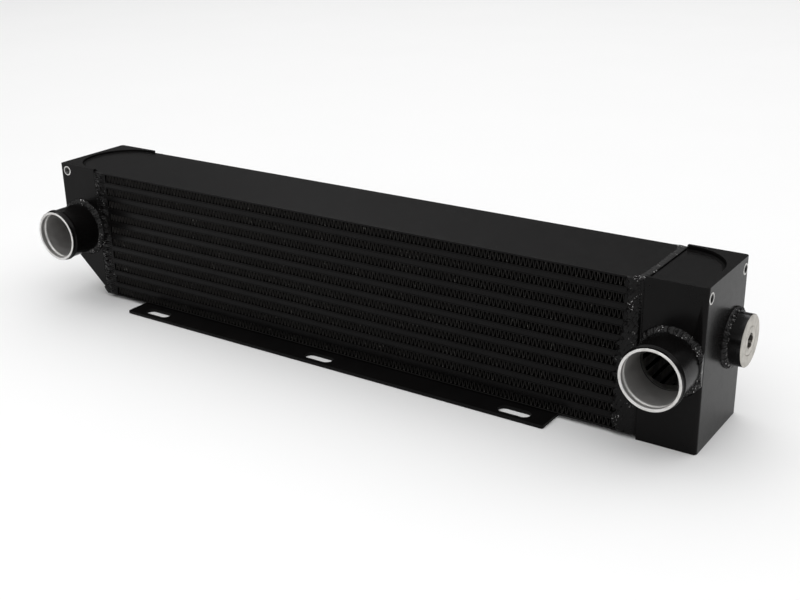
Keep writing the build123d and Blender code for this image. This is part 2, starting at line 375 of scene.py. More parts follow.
@dataclass(frozen=True)
class TankPaint(SatinPaint):
    """The same paint outside; bare, dull aluminium on what the oil touches."""

    bare: Colour = (0.5, 0.49, 0.47)
    bare_dark: Colour = (0.3, 0.295, 0.285)
    stain_size: float = 9.0
    shine: float = 0.9
    cavity_centre: float = 303.5
    cavity_radius: float = 41.0
    cavity_straight: float = 3.5
    floor_z: float = 6.0
    lid_z: float = 131.8
    port_x: float = 323.5
    port_z: float = 73.0
    port_bore: float = 22.95
    front_y: float = -43.9
    edge: float = 0.2

    def inside(self, tree: Tree) -> Value:
        """Find the surfaces that the oil touches.

        In plan they lie where the distance from the D's axis, taken beyond its straight
        part only, is less than its radius. The ports' holes through the front wall, where
        the distance from the port's axis is less than its bore, are added to them.

        Args:
            tree: The material's tree.

        Returns:
            1 inside, 0 outside.
        """
        beyond = (abs(tree.x) - self.cavity_centre).above(0.0)
        reach = (beyond * beyond + tree.y * tree.y).root()
        plan = reach.step(self.cavity_radius + 0.5, self.cavity_radius + self.edge)
        mouth = self.cavity_centre - self.cavity_straight
        outer = abs(tree.x).step(mouth - self.edge, mouth)
        low = tree.z.step(self.floor_z - self.edge, self.floor_z)
        high = tree.z.step(self.lid_z + self.edge, self.lid_z)
        away_x = abs(tree.x) - self.port_x
        away_z = tree.z - self.port_z
        bore = (away_x * away_x + away_z * away_z).root()
        hole = bore.step(self.port_bore + 0.1, self.port_bore)
        hole = hole * tree.y.step(self.front_y, self.front_y + 0.1) * tree.y.step(0.1, 0.0)
        return (plan * outer * low * high).above(hole)

    def material(self) -> bpy.types.Material:
        """Make the material."""
        tree = self.tree()
        colour, rough, relief = self.paint(tree)
        bare = self.inside(tree)
        stain = tree.noise(self.stain_size, 5.0)
        metal = tree.blend(stain.step(0.35, 0.7), self.bare_dark, self.bare)
        return tree.finish(
            tree.blend(bare, colour, metal),
            rough * (1.0 - bare) + (0.3 + stain * 0.25) * bare,
            bare * self.shine,
            relief,
            self.peel_depth,
        )


@dataclass(frozen=True)
class FinPaint(SatinPaint):
    """Thin black paint over the corrugated fins, with painted shade: greyer near their open
    edges and black further in, where shade falls, with a few painted glints on the edges."""

    painted_edge_glint: Colour = (0.22, 0.215, 0.2)
    painted_edge_light: Colour = (0.042, 0.04, 0.038)
    edge_y: float = 42.8
    edge_band: float = 0.7
    painted_shade_depth: float = 2.4
    painted_shade_patch_size: float = 30.0
    glint_patch_size: float = 2.6
    glint_share: float = 0.8
    dulling: float = 0.2

    def material(self) -> bpy.types.Material:
        """Make the material."""
        tree = self.tree()
        colour, rough, relief = self.paint(tree)
        reach = abs(tree.y)
        edge = reach.step(self.edge_y - 0.2 - self.edge_band, self.edge_y - 0.2)
        # Painted shade: the colour turns from a grey at the open edges to black further in.
        painted_edge_light_share = reach.step(self.edge_y - self.painted_shade_depth, self.edge_y)
        painted_edge_light_share = painted_edge_light_share * (0.75 + tree.noise(self.painted_shade_patch_size, 2.0) * 0.5)
        # Painted glints: pale grey patches on the open edges, where light catches them.
        worn = tree.noise(self.glint_patch_size, 4.0).step(0.62, 0.75) * edge
        body = tree.blend(painted_edge_light_share, colour, self.painted_edge_light)
        return tree.finish(
            tree.blend(worn * self.glint_share, body, self.painted_edge_glint),
            rough + self.dulling,
            0.0,
            relief,
            self.peel_depth,
        )


@dataclass(frozen=True)
class WeldPaint(SatinPaint):
    """Paint over weld metal: glossier, with spatter and bare bright flecks."""

    fleck: Colour = (0.6, 0.59, 0.58)
    spatter_size: float = 1.3
    patch_size: float = 9.0
    bare_from: float = 0.48
    fleck_shine: float = 0.7
    spatter_depth: float = 0.2

    def material(self) -> bpy.types.Material:
        """Make the material."""
        tree = self.tree()
        colour, rough, relief = self.paint(tree)
        spatter = tree.noise(self.spatter_size, 5.0)
        patch = tree.noise(self.patch_size, 2.0).step(self.bare_from, self.bare_from + 0.1)
        worn = spatter.step(0.59, 0.67) * patch
        return tree.finish(
            tree.blend(worn, colour, self.fleck),
            rough,
            worn * self.fleck_shine,
            relief * 0.4 + spatter,
            self.spatter_depth,
        )


@dataclass(frozen=True)
class BareBraze:
    """Furnace-brazed aluminium inside the core: dull, clouded and faintly rippled."""

    name: str = "bare_braze"
    light: Colour = (0.52, 0.51, 0.49)
    dark: Colour = (0.33, 0.325, 0.315)
    cloud_size: float = 7.0
    grain_size: float = 0.8
    shine: float = 0.85
    relief_depth: float = 0.05

    def material(self) -> bpy.types.Material:
        """Make the material."""
        tree = Tree(self.name)
        cloud = tree.noise(self.cloud_size, 5.0)
        grain = tree.noise(self.grain_size, 2.0)
        colour = tree.blend(cloud.step(0.35, 0.68), self.dark, self.light)
        rough = 0.38 + cloud * 0.22
        return tree.finish(colour, rough, self.shine, grain + cloud, self.relief_depth)


@dataclass(frozen=True)
class TurnedMetal:
    """Bare aluminium turned about an axis, with fine rings and light stains.

    Paint stays outside a radius and behind a face, with a wandering edge; as they stand,
    both lie far outside any piece, so that it is bare all over. A dark joint may run
    round the bore, and a twin piece may lie at the opposite Y. Within a further radius the
    colour turns darker: dull bare metal in the hose ports' bores, painted shade in the
    plug's socket and in the inserts' threaded holes.
    """

    name: str
    axis: str
    centre: tuple[float, float, float]
    masked_radius: float = 999.0
    masked_face: float = 999.0
    metal: Colour = (0.78, 0.77, 0.755)
    stained: Colour = (0.6, 0.59, 0.57)
    dull_metal_and_painted_shade: Colour = (0.42, 0.415, 0.41)
    dull_and_shade_radius: float = 0.0
    seam: Colour = (0.05, 0.048, 0.045)
    shine: float = 0.8
    roughness: float = 0.38
    ring_size: float = 0.5
    ring_depth: float = 0.03
    stain_size: float = 6.0
    mask_edge: float = 0.15
    mask_wander: float = 0.3
    joint: float = 0.0
    joint_reach: tuple[float, float] = (0.9, 0.4)
    twin: bool = False
    paint: SatinPaint = field(default_factory=SatinPaint)

    def material(self) -> bpy.types.Material:
        """Make the material."""
        tree = Tree(self.name)
        tree.shader.inputs["Specular IOR Level"].default_value = self.paint.specular
        across = abs(tree.y) if self.twin else tree.y
        dx, dy, dz = (p - c for p, c in zip((tree.x, across, tree.z), self.centre))
        if self.axis == "X":
            along, wide, tall = dx, dy, dz
        else:
            along, wide, tall = -1.0 * dy, dx, dz
        radius = (wide * wide + tall * tall).root()
        ring = tree.noise(self.ring_size, 3.0, tree.vector(radius, along, 0.0))
        stain = tree.noise(self.stain_size, 5.0).step(0.35, 0.72)
        metal = tree.blend(stain * 0.55 + ring * 0.3, self.metal, self.stained)
        # Inside this radius the colour turns darker: dull bare metal in the hose bores, painted
        # shade in the plug's socket and the inserts' holes.
        if self.dull_and_shade_radius:
            dull_and_shade_share = radius.step(self.dull_and_shade_radius + 0.3, self.dull_and_shade_radius)
            metal = tree.blend(dull_and_shade_share * (0.97 - stain * 0.05), metal, self.dull_metal_and_painted_shade)
        if self.joint:
            near = abs(along - self.joint).step(*self.joint_reach)
            metal = tree.blend(near * 0.85, metal, self.seam)
        colour, rough, relief = self.paint.paint(tree)
        wander = tree.noise(1.5, 2.0) * self.mask_wander
        outside = (radius + wander).step(self.masked_radius, self.masked_radius + self.mask_edge)
        behind = (along + wander).step(self.masked_face, self.masked_face - self.mask_edge)
        masked = outside * behind
        return tree.finish(
            tree.blend(masked, metal, colour),
            rough * masked + (self.roughness + stain * 0.15 + ring * 0.12) * (1.0 - masked),
            (1.0 - masked) * self.shine,
            relief * masked + ring * (1.0 - masked),
            self.ring_depth,
        )


@dataclass(frozen=True)
class FloorFinish:
    """Pale matt floor with the faintest cloud."""

    name: str = "pale_floor"
    light: Colour = (0.92, 0.92, 0.92)
    dark: Colour = (0.9, 0.9, 0.9)
    roughness: float = 0.7
    cloud_size: float = 240.0
    relief_depth: float = 0.01

    def material(self) -> bpy.types.Material:
        """Make the material."""
        tree = Tree(self.name)
        cloud = tree.noise(self.cloud_size, 2.0)
        colour = tree.blend(cloud, self.dark, self.light)
        return tree.finish(colour, self.roughness, 0.0, cloud, self.relief_depth)


# --- Mesh tools ----------------------------------------------------------------------


@dataclass(frozen=True)
class Box:
    """A CAD node's box in millimetres."""

    low: Array
    high: Array

    @classmethod
    def of(cls, node: str) -> "Box":
        """Read a node's box.

        Args:
            node: The CAD node.

        Returns:
            Its box.
        """
        low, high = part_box(node)
        return cls(np.array(low) / MM, np.array(high) / MM)

    @property
    def centre(self) -> Array:
        """Middle of the box."""
        return (self.low + self.high) / 2


def grid_faces(rows: int, columns: int, loop_rows: bool, loop_columns: bool) -> list[list[int]]:
    """Quads of a grid of points numbered row by row.

    Args:
        rows: Rows of points.
        columns: Points in a row.
        loop_rows: The last row joins the first.
        loop_columns: Each row is a ring.

    Returns:
        The quads' corners: each point, the next in its row, and the same pair a row on.
    """
    row, column = np.meshgrid(
        np.arange(rows if loop_rows else rows - 1),
        np.arange(columns if loop_columns else columns - 1),
        indexing="ij",
    )
    next_row = (row + 1) % rows
    next_column = (column + 1) % columns
    corners = [
        row * columns + column,
        row * columns + next_column,
        next_row * columns + next_column,
        next_row * columns + column,
    ]
    return np.stack(corners, -1).reshape(-1, 4).tolist()


def dress(
    piece: bpy.types.Object, material: bpy.types.Material, slot: str, nodes: list[str]
) -> None:
    """Give a piece its material and its place in the frame.

    Args:
        piece: The piece.
        material: Its finish.
        slot: Not used.
        nodes: CAD nodes that it stands for.
    """
    piece.data.materials.clear()
    piece.data.materials.append(material)
    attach(piece, ROOT)
    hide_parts(*nodes)
    LOG.info("%s: %d faces", piece.name, len(piece.data.polygons))


def solid(
    name: str, points: Array, faces: list[list[int]], crease: float = 40.0
) -> bpy.types.Object:
    """Put a closed shell into a mesh with its faces outwards.

    Args:
        name: The piece's name.
        points: Its points in mm.
        faces: Its faces.
        crease: Edges turning more than this many degrees stay sharp.

    Returns:
        The new object.
    """
    mesh = bpy.data.meshes.new(name)
    mesh.from_pydata((points.reshape(-1, 3) * MM).tolist(), [], faces)
    shell = bmesh.new()
    shell.from_mesh(mesh)
    bmesh.ops.recalc_face_normals(shell, faces=shell.faces)
    shell.to_mesh(mesh)
    shell.free()
    mesh.shade_smooth()
    mesh.set_sharp_from_angle(angle=np.radians(crease))
    piece = bpy.data.objects.new(name, mesh)
    bpy.context.scene.collection.objects.link(piece)
    return piece


def joined(parts: list[tuple[Array, list[list[int]]]]) -> tuple[Array, list[list[int]]]:
    """Several shells as one list of points and faces.

    Args:
        parts: Points and faces of each shell.

    Returns:
        All the points and all the faces, numbered on.
    """
    points = [shell.reshape(-1, 3) for shell, _ in parts]
    starts = np.cumsum([0] + [len(shell) for shell in points[:-1]])
    faces = [
        [int(start) + corner for corner in face]
        for start, (_, shell_faces) in zip(starts, parts)
        for face in shell_faces
    ]
    return np.concatenate(points), faces


def swept(section: Array, spine: Array, across: Array, rise: Array, looped: bool) -> tuple:
    """A closed section carried along a line.

    Each point is the spine's point, plus the section's first number along the across
    direction there, plus its second number along the rise direction.

    Args:
        section: Section at each point of the spine, as rows of pairs.
        spine: Points of the line.
        across: Unit direction of the section's first number at each point.
        rise: Unit direction of its second number.
        looped: The line is a ring; otherwise both ends are capped.

    Returns:
        Points and faces.
    """
    points = (
        spine[:, None]
        + section[..., :1] * across[:, None]
        + section[..., 1:] * rise[:, None]
    )
    rows, columns = points.shape[:2]
    faces = grid_faces(rows, columns, looped, True)
    if not looped:
        faces += [list(range(columns)), list(range((rows - 1) * columns, rows * columns))]
    return points, faces


def turned(radius: Array, along: Array, centre: Array, axis: str, ring: bool) -> tuple:
    """A profile turned about an axis.

    At each angle a point stands off the axis by its radius, in the plane of the two
    other directions, and along the axis by its second number.

    Args:
        radius: Radius of each profile point, one for all angles or one each.
        along: Distance of each profile point along the axis.
        centre: A point on the axis, where along is zero.
        axis: "X" for an axis that runs out along +X, "Y" for one along -Y.
        ring: The profile closes on itself; otherwise its two ends are on the axis.

    Returns:
        Points and faces.
    """
    segments = radius.shape[1]
    angle = np.arange(segments) * 2 * np.pi / segments
    wide = radius * np.cos(angle)
    tall = radius * np.sin(angle)
    depth = np.broadcast_to(along[:, None], radius.shape)
    if axis == "X":
        points = np.stack([depth, wide, tall], -1) + centre
    else:
        points = np.stack([wide, -depth, tall], -1) + centre
    rows = len(along)
    faces = grid_faces(rows, segments, ring, True)
    if ring:
        return points, faces
    hubs = points[[0, -1]].mean(1)
    turn = np.arange(segments)
    first = np.stack([np.full(segments, rows * segments), turn, (turn + 1) % segments], -1)
    last = first + np.array([1, (rows - 1) * segments, (rows - 1) * segments])
    return np.concatenate([points.reshape(-1, 3), hubs]), faces + first.tolist() + last.tolist()


def drift(travel: Array, seed: int, lengths: tuple[float, ...] = (37.0, 17.0, 9.0, 5.0)) -> Array:
    """Slow random wander between about -1 and 1: a sum of waves with seeded phases.

    Args:
        travel: Places along a line in mm.
        seed: Chooses the phases.
        lengths: The waves' lengths in mm.

    Returns:
        The wander at each place.
    """
    chance = np.random.default_rng(seed)
    phases = chance.uniform(0, 2 * np.pi, len(lengths))
    waves = [np.sin(2 * np.pi * travel / size + phase) for size, phase in zip(lengths, phases)]
    return np.sum(waves, 0) / len(lengths) ** 0.5 / 1.2


def cad_copy(node: str, bevel: float) -> bpy.types.Object:
    """Copy of a CAD node with its loose triangles merged and its edges softened.

    Args:
        node: The CAD node, whose name the piece takes with "soft" after it.
        bevel: Width of the softened edges in mm.

    Returns:
        The new object.
    """
    name = f"{node}_soft"
    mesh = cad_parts[node].data.copy()
    mesh.name = name
    shell = bmesh.new()
    shell.from_mesh(mesh)
    bmesh.ops.remove_doubles(shell, verts=shell.verts, dist=MERGE_DISTANCE * MM)
    bmesh.ops.dissolve_limit(
        shell, angle_limit=np.radians(FLAT_ANGLE), verts=shell.verts, edges=shell.edges
    )
    shell.to_mesh(mesh)
    shell.free()
    mesh.shade_smooth()
    mesh.set_sharp_from_angle(angle=np.radians(SHARP_ANGLE))
    piece = bpy.data.objects.new(name, mesh)
    bpy.context.scene.collection.objects.link(piece)
    soften = piece.modifiers.new("soft_edges", "BEVEL")
    soften.width = bevel * MM
    soften.segments = BEVEL_SEGMENTS
    soften.limit_method = "ANGLE"
    soften.angle_limit = np.radians(BEVEL_ANGLE)
    soften.harden_normals = True
    return piece


# --- Core -----------------------------------------------------------------------------


@dataclass
class Core:
    """Brazed stack: plates, bars, parting sheets and the fins between them."""

    layers: int = 10
    waves: int = 138
    gauge: float = 0.25
    crest: float = 0.9
    corner: float = 0.22
    lean: float = 0.14
    lean_depth: float = 2.2
    ragged: float = 0.12
    crease: float = 28.0
    bar_edge: float = 0.55
    plate_edge: float = 0.7
    sheet_edge: float = 0.15
    top_lid_z: float = 133.8
    top_peel_size: float = 2.2
    fin_paint: FinPaint = field(
        default_factory=lambda: FinPaint(
            "fin_paint", specular=0.03, speck_spacing=3.0, speck_radius=0.1
        )
    )

    def wave_line(self, box: Box) -> tuple[Array, Array]:
        """Middle line of one fin pack in X and Z.

        Each wave has a trough, a flank, a crest and a flank. Each of its four corners is
        cut by a short chamfer, so a wave has eight points.

        Args:
            box: The pack's box.

        Returns:
            X and height of the line's points.
        """
        run = box.high[0] - box.low[0]
        rise = box.high[2] - box.low[2] - self.gauge
        period = run / self.waves
        flank = period / 2 - self.crest
        cut_x = self.corner * flank / np.hypot(flank, rise)
        cut_z = self.corner * rise / np.hypot(flank, rise)
        low, high = self.crest / 2, period / 2 - self.crest / 2
        across = [
            low - self.corner, low + cut_x, high - cut_x, high + self.corner,
            period - high - self.corner, period - high + cut_x,
            period - low - cut_x, period - low + self.corner,
        ]
        up = [0.0, cut_z, rise - cut_z, rise, rise, rise - cut_z, cut_z, 0.0]
        starts = box.low[0] + period * np.arange(self.waves)
        x = (starts[:, None] + np.array(across)).ravel()
        z = np.tile(np.array(up), self.waves) + box.low[2] + self.gauge / 2
        x[0], x[-1] = box.low[0], box.high[0]
        return x, z

    def fin(self, layer: int) -> bpy.types.Object:
        """One air layer's corrugated strip.

        The line runs front to back through seven stations. Near each open face every
        wave leans a little to one side, by a seeded share that dies away inwards, and its
        edge stands back by another seeded share. The strip's two skins stand half a gauge
        off the line along its own normal.

        Args:
            layer: Its number, from 1.

        Returns:
            The piece.
        """
        node = f"air_fin_{layer:02d}"
        box = Box.of(node)
        x, z = self.wave_line(box)
        tangent = np.stack([np.gradient(x), np.gradient(z)], -1)
        tangent /= np.linalg.norm(tangent, axis=1, keepdims=True)
        normal_x, normal_z = -tangent[:, 1], tangent[:, 0]
        half = box.high[1]
        y = np.array([-half, -half + 1.0, -half + 3.5, 0.0, half - 3.5, half - 1.0, half])
        chance = np.random.default_rng(100 + layer)
        per_wave = chance.normal(0, self.lean, (self.waves, 2)).clip(-2 * self.lean, 2 * self.lean)
        lean = np.repeat(per_wave, 8, 0)
        span = z.max() - z.min()
        free = np.sin(np.pi * (z - z.min()) / span) * 0.75 + 0.25
        fade_front = np.exp(-(y + half) / self.lean_depth)
        fade_rear = np.exp(-(half - y) / self.lean_depth)
        shift = lean[:, :1] * fade_front + lean[:, 1:] * fade_rear
        shift = shift * free[:, None]
        shift[[0, 1, -2, -1]] = 0.0
        retreat = np.repeat(np.abs(chance.normal(0, self.ragged, self.waves)), 8)
        depth = np.broadcast_to(y, shift.shape) * (1 - retreat[:, None] / half)
        skins = []
        for sign in (1, -1):
            off_x = sign * normal_x * self.gauge / 2
            off_z = sign * normal_z * self.gauge / 2
            flat_x = np.clip(x[:, None] + off_x[:, None] + shift, box.low[0], box.high[0])
            flat_z = np.broadcast_to((z + off_z)[:, None], shift.shape)
            flat_z = np.clip(flat_z, box.low[2], box.high[2])
            skins.append(np.stack([flat_x, depth, flat_z], -1))
        strip = np.concatenate([skins[0], skins[1][:, ::-1]], 1)
        rows, columns = strip.shape[:2]
        faces = grid_faces(rows, columns, False, True)
        faces += [list(range(columns)), list(range((rows - 1) * columns, rows * columns))]
        return solid(f"air_fin_pack_{layer:02d}", strip, faces, self.crease)

    def build(self) -> None:
        """Make and dress the core."""
        paint = TankPaint("core_plate_paint").material()
        top_finish = TankPaint(
            "top_plate_paint", lid_z=self.top_lid_z, peel_size=self.top_peel_size
        )
        top_paint = top_finish.material()
        edges = {
            "bottom_side_plate": (self.plate_edge, paint),
            "top_side_plate": (self.plate_edge, top_paint),
            "parting_sheets": (self.sheet_edge, paint),
            "front_face_bars": (self.bar_edge, paint),
            "rear_face_bars": (self.bar_edge, paint),
            "left_end_bars": (self.bar_edge, paint),
            "right_end_bars": (self.bar_edge, paint),
        }
        for node, (edge, finish) in edges.items():
            dress(cad_copy(node, edge), finish, "black_paint", [node])
        fin_finish = self.fin_paint.material()
        for layer in range(1, self.layers + 1):
            dress(self.fin(layer), fin_finish, "painted_fin", [f"air_fin_{layer:02d}"])
        braze = BareBraze().material()
        for name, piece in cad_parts.items():
            if name.startswith("oil_fin"):
                piece.data.materials.clear()
                piece.data.materials.append(braze)


# --- Tanks ------------------------------------------------------------------------------


@dataclass
class Tanks:
    """The two end tanks, their caps and the flange."""

    shell_edge: float = 0.6
    cap_edge: float = 0.2
    flange_edge: float = 0.5
    finish: TankPaint = field(default_factory=lambda: TankPaint("tank_paint"))
    flange_finish: SatinPaint = field(
        default_factory=lambda: SatinPaint("flange_paint", roughness=0.5, speck_spacing=5.0)
    )

    def build(self) -> None:
        """Make and dress the tanks, caps and flange."""
        paint = self.finish.material()
        edges = {
            "left_tank_shell": self.shell_edge,
            "right_tank_shell": self.shell_edge,
            "left_slope_cap": self.cap_edge,
            "right_top_cap": self.cap_edge,
            "right_bottom_cap": self.cap_edge,
        }
        for node, edge in edges.items():
            dress(cad_copy(node, edge), paint, "black_paint", [node])
        flange = cad_copy("mounting_flange", self.flange_edge)
        dress(flange, self.flange_finish.material(), "black_paint", ["mounting_flange"])


# --- Welds ------------------------------------------------------------------------------


@dataclass(frozen=True)
class Ripple:
    """Surface of a weld bead: crescent ripples along it, with slow lumps."""

    pitch: float = 2.3
    depth: float = 0.32
    bow: float = 0.5
    lumps: float = 0.3
    seed: int = 1

    def swell(self, travel: Array, spread: Array) -> Array:
        """Height that ripples and lumps add, in mm.

        A ripple is a raised cosine of the travel, bowed back by the square of the place
        across the bead; a slow wander is added to it.

        Args:
            travel: Distance along the bead in mm.
            spread: Place across the bead, from -1 to 1.

        Returns:
            The added height.
        """
        wander = drift(travel, self.seed)
        phase = travel / self.pitch + self.bow * spread**2 + 0.35 * wander
        crest = 0.5 + 0.5 * np.cos(2 * np.pi * phase)
        return self.depth * (crest**1.6 - 0.4) + self.lumps * drift(travel, self.seed + 7)


@dataclass(frozen=True)
class KnobblySeam:
    """The left seam: a lump at each bar and each layer, on a thin band.

    A lump's place is a mean and a spread, and its size and height are ranges.
    """

    band_height: float = 0.55
    band_width: float = 13.0
    band_wander: float = 0.25
    lump_up: tuple[float, float] = (3.0, 1.0)
    lump_away: float = 8.2
    lump_spread: float = 1.5
    layer_shift: float = -0.6
    bar_shift: float = 1.2
    lump_size: tuple[float, float] = (1.7, 2.9)
    lump_height: tuple[float, float] = (1.8, 3.0)
    layer_share: float = 0.75
    stretch: float = 1.5
    ripple_pitch: float = 2.3
    ripple_depth: float = 0.24

    def heights(self, away: Array, up: Array, seed: int) -> Array:
        """Heights of the seam: each lump is a bell with seeded place, width and height;
        the highest lump or the band wins, and ripples run over them.

        Args:
            away: Distance from the tank at each point.
            up: Height above the core's base.
            seed: Chooses the lumps.

        Returns:
            The heights.
        """
        chance = np.random.default_rng(seed)
        band = self.band_height * np.sin(np.pi * np.clip(away / self.band_width, 0, 1)) ** 0.7
        height = band + self.band_wander * drift(up + 3 * away, seed + 3, (11.0, 5.0, 3.1))
        for row in range(2 * int(up.max() / LAYER_PITCH) + 2):
            is_bar = row % 2
            middle = row * LAYER_PITCH / 2 + chance.normal(*self.lump_up)
            shift = self.bar_shift if is_bar else self.layer_shift
            place = self.lump_away + chance.normal(0, self.lump_spread) + shift
            size = chance.uniform(*self.lump_size)
            tall = chance.uniform(*self.lump_height) * (1.0 if is_bar else self.layer_share)
            off_away = (away - place) / (size * self.stretch)
            bell = np.exp(-(off_away**2) - ((up - middle) / size) ** 2)
            height = np.maximum(height, tall * bell + 0.4 * height)
        phase = up / self.ripple_pitch + 0.35 * np.sin(away / 2.2)
        ripple = np.sin(2 * np.pi * phase) * self.ripple_depth
        fade = np.clip(away / 1.5, 0, 1) * np.clip((away.max() - away) / 2.2, 0, 1)
        return (height + ripple) * fade - 0.25 * (1 - fade)


@dataclass(frozen=True)
class PocketSeam:
    """The right seam on the core's front or rear: a broad band with a pocket at each air
    layer's end."""

    sunk: float = -1.7
    climb: float = 3.1
    climb_run: float = 2.6
    fall_from: float = 0.6
    fall_run: float = 2.4
    wander: float = 0.22
    ripple_pitch: float = 2.6
    ripple_depth: float = 0.16
    plate: float = 2.0
    half_layer: float = 3.6
    pocket_depth: float = 1.5
    lump_height: float = 1.2

    def heights(self, away: Array, up: Array, width: Array, seed: int) -> Array:
        """Heights of the seam.

        The band climbs from below the face at its fin edge, stays near its full height,
        and falls away beside the tank. A bell-shaped pocket is taken out beside each air
        layer and a bell-shaped lump is added beside each bar.

        Args:
            away: Distance from the tank at each point.
            up: Height above the core's base.
            width: Width of the band at each point.
            seed: Chooses the wander.

        Returns:
            The heights.
        """
        inside = width - away
        rise = np.clip(inside / self.climb_run, 0, 1) ** 0.6
        fall = np.clip((away - self.fall_from) / self.fall_run, 0, 1)
        height = self.sunk + self.climb * rise
        height += self.wander * drift(up + 2 * away, seed + 1, (9.0, 5.0, 3.3)) * rise
        phase = up / self.ripple_pitch + 0.03 * away**2
        height += self.ripple_depth * np.sin(2 * np.pi * phase) * rise
        layer = (up - self.plate - self.half_layer) / LAYER_PITCH
        off = (layer - np.round(layer)) * LAYER_PITCH
        bar = np.abs(off) - LAYER_PITCH / 2
        height -= self.pocket_depth * np.exp(-((off / 2.6) ** 2) - ((inside - 1.6) / 2.2) ** 2)
        height += self.lump_height * np.exp(-((bar / 2.2) ** 2) - ((inside - 2.6) / 2.0) ** 2)
        return height * fall * fall * (3 - 2 * fall) - 0.5 * (1 - fall)


@dataclass(frozen=True)
class LineSeam:
    """The right seam on the core's top or bottom: a low round bead."""

    height: float = 0.45
    ripple_depth: float = 0.4
    ripple_pitch: float = 2.4
    wander: float = 0.2
    sunk: float = 0.3

    def heights(self, away: Array, up: Array, width: Array, seed: int) -> Array:
        """Heights of the bead: its section is a half circle over its width, flattened,
        with ripples along it.

        Args:
            away: Distance from the tank at each point.
            up: Distance along the bead.
            width: Width of the bead at each point.
            seed: Chooses the wander.

        Returns:
            The heights.
        """
        middle = 2 * away / width - 1
        arch = np.sqrt(np.clip(1 - middle**2, 0, 1))
        phase = up / self.ripple_pitch + 0.3 * middle**2
        ripple = 0.5 + 0.5 * np.cos(2 * np.pi * phase)
        height = self.height + self.ripple_depth * ripple + self.wander * drift(up, seed)
        return height * arch - self.sunk * (1 - arch)


